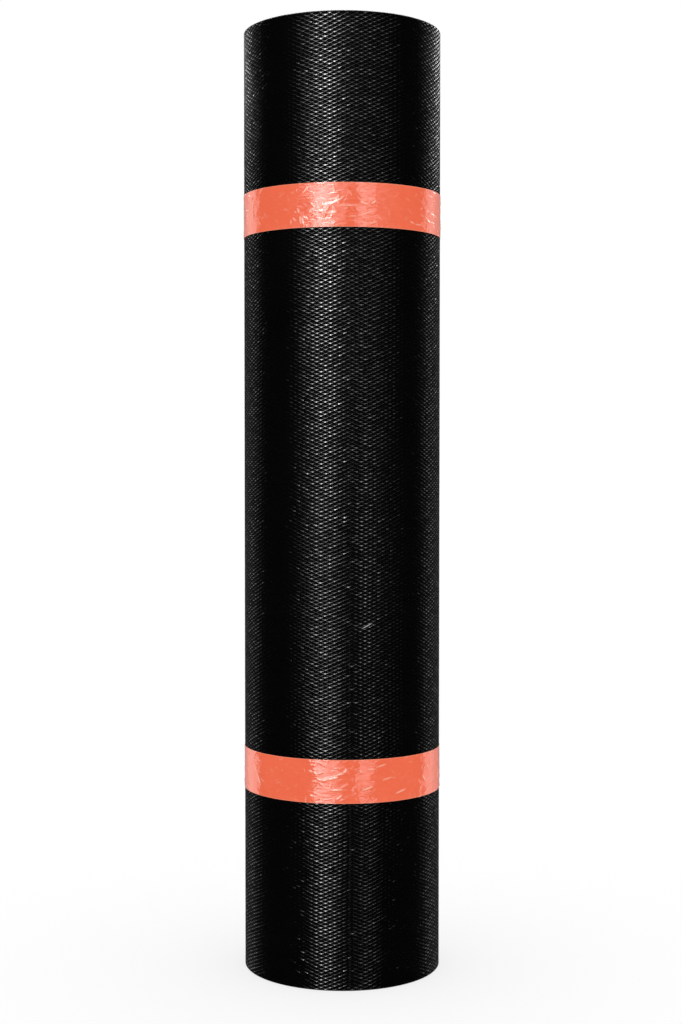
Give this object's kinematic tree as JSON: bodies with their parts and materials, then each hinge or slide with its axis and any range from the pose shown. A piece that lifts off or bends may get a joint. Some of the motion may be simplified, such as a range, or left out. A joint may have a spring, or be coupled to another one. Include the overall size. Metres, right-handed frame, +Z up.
{
  "type": "roll of roofing felt",
  "caption": "Standing coreless roll of embossed black bituminous roofing felt, wound in a spiral round an open bore and held closed by bands of adhesive tape.",
  "frame": {"origin": "centre of the bore at the roll's foot, on the floor", "axes": "+Z up along the bore, across the felt's width; +Y towards the felt's free outer end, at the back; -Y faces the viewer"},
  "size_m": [0.2103, 0.2124, 1],
  "materials": {
    "felt": "satin",
    "tape": "gloss"
  },
  "bodies": {
    "root": {"felt_roll": "felt", "upper_tape": "tape", "lower_tape": "tape"}
  },
  "joints": []
}
